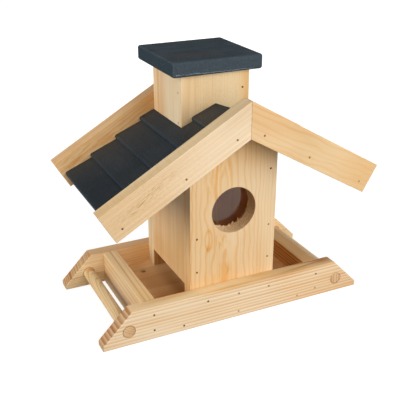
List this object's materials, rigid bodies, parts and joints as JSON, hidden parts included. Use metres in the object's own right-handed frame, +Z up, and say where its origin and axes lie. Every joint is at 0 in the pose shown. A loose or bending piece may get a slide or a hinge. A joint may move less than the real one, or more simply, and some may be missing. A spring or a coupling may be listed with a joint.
{
  "type": "hopper bird feeder",
  "caption": "Wooden hopper bird feeder with a dark stepped gable roof, a round seed window, a lift-off lid on a chimney, and a seed tray between slant-ended rails with perches.",
  "frame": {"origin": "middle of the floor board's underside, on the surface that the feeder stands on", "axes": "+X along the rails, to the right when the window faces the viewer; +Y from the window to the back; +Z up"},
  "size_m": [0.3832, 0.204, 0.335],
  "materials": {
    "pine": "planed, unfinished softwood",
    "anthracite_paint": "matt anthracite paint",
    "clear_pane": "clear, smooth",
    "nail_steel": "dark, set flush"
  },
  "bodies": {
    "feeder": {"back_bargeboard_nails": "nail_steel", "back_left_bargeboard": "pine", "back_panel": "pine", "back_panel_nails": "nail_steel", "back_rail": "pine", "back_rail_nails": "nail_steel", "back_right_bargeboard": "pine", "chimney_back": "pine", "chimney_front": "pine", "chimney_left": "pine", "chimney_nails": "nail_steel", "chimney_right": "pine", "floor_board": "pine", "front_bargeboard_nails": "nail_steel", "front_left_bargeboard": "pine", "front_panel": "pine", "front_panel_nails": "nail_steel", "front_rail": "pine", "front_rail_nails": "nail_steel", "front_right_bargeboard": "pine", "left_batten": "pine", "left_perch": "pine", "left_roof_board": "anthracite_paint", "left_roof_nails": "nail_steel", "left_wall": "pine", "pane_tacks": "nail_steel", "right_batten": "pine", "right_perch": "pine", "right_roof_board": "anthracite_paint", "right_roof_nails": "nail_steel", "right_wall": "pine", "window_pane": "clear_pane"},
    "lid": {"lid_board": "anthracite_paint", "lid_plug": "pine", "plug_nails": "nail_steel"}
  },
  "joints": [
    {"name": "lid_lift", "type": "slide", "parent": "feeder", "child": "lid", "axis": [0, 0, 1], "range_m": [0, 0.15]}
  ]
}
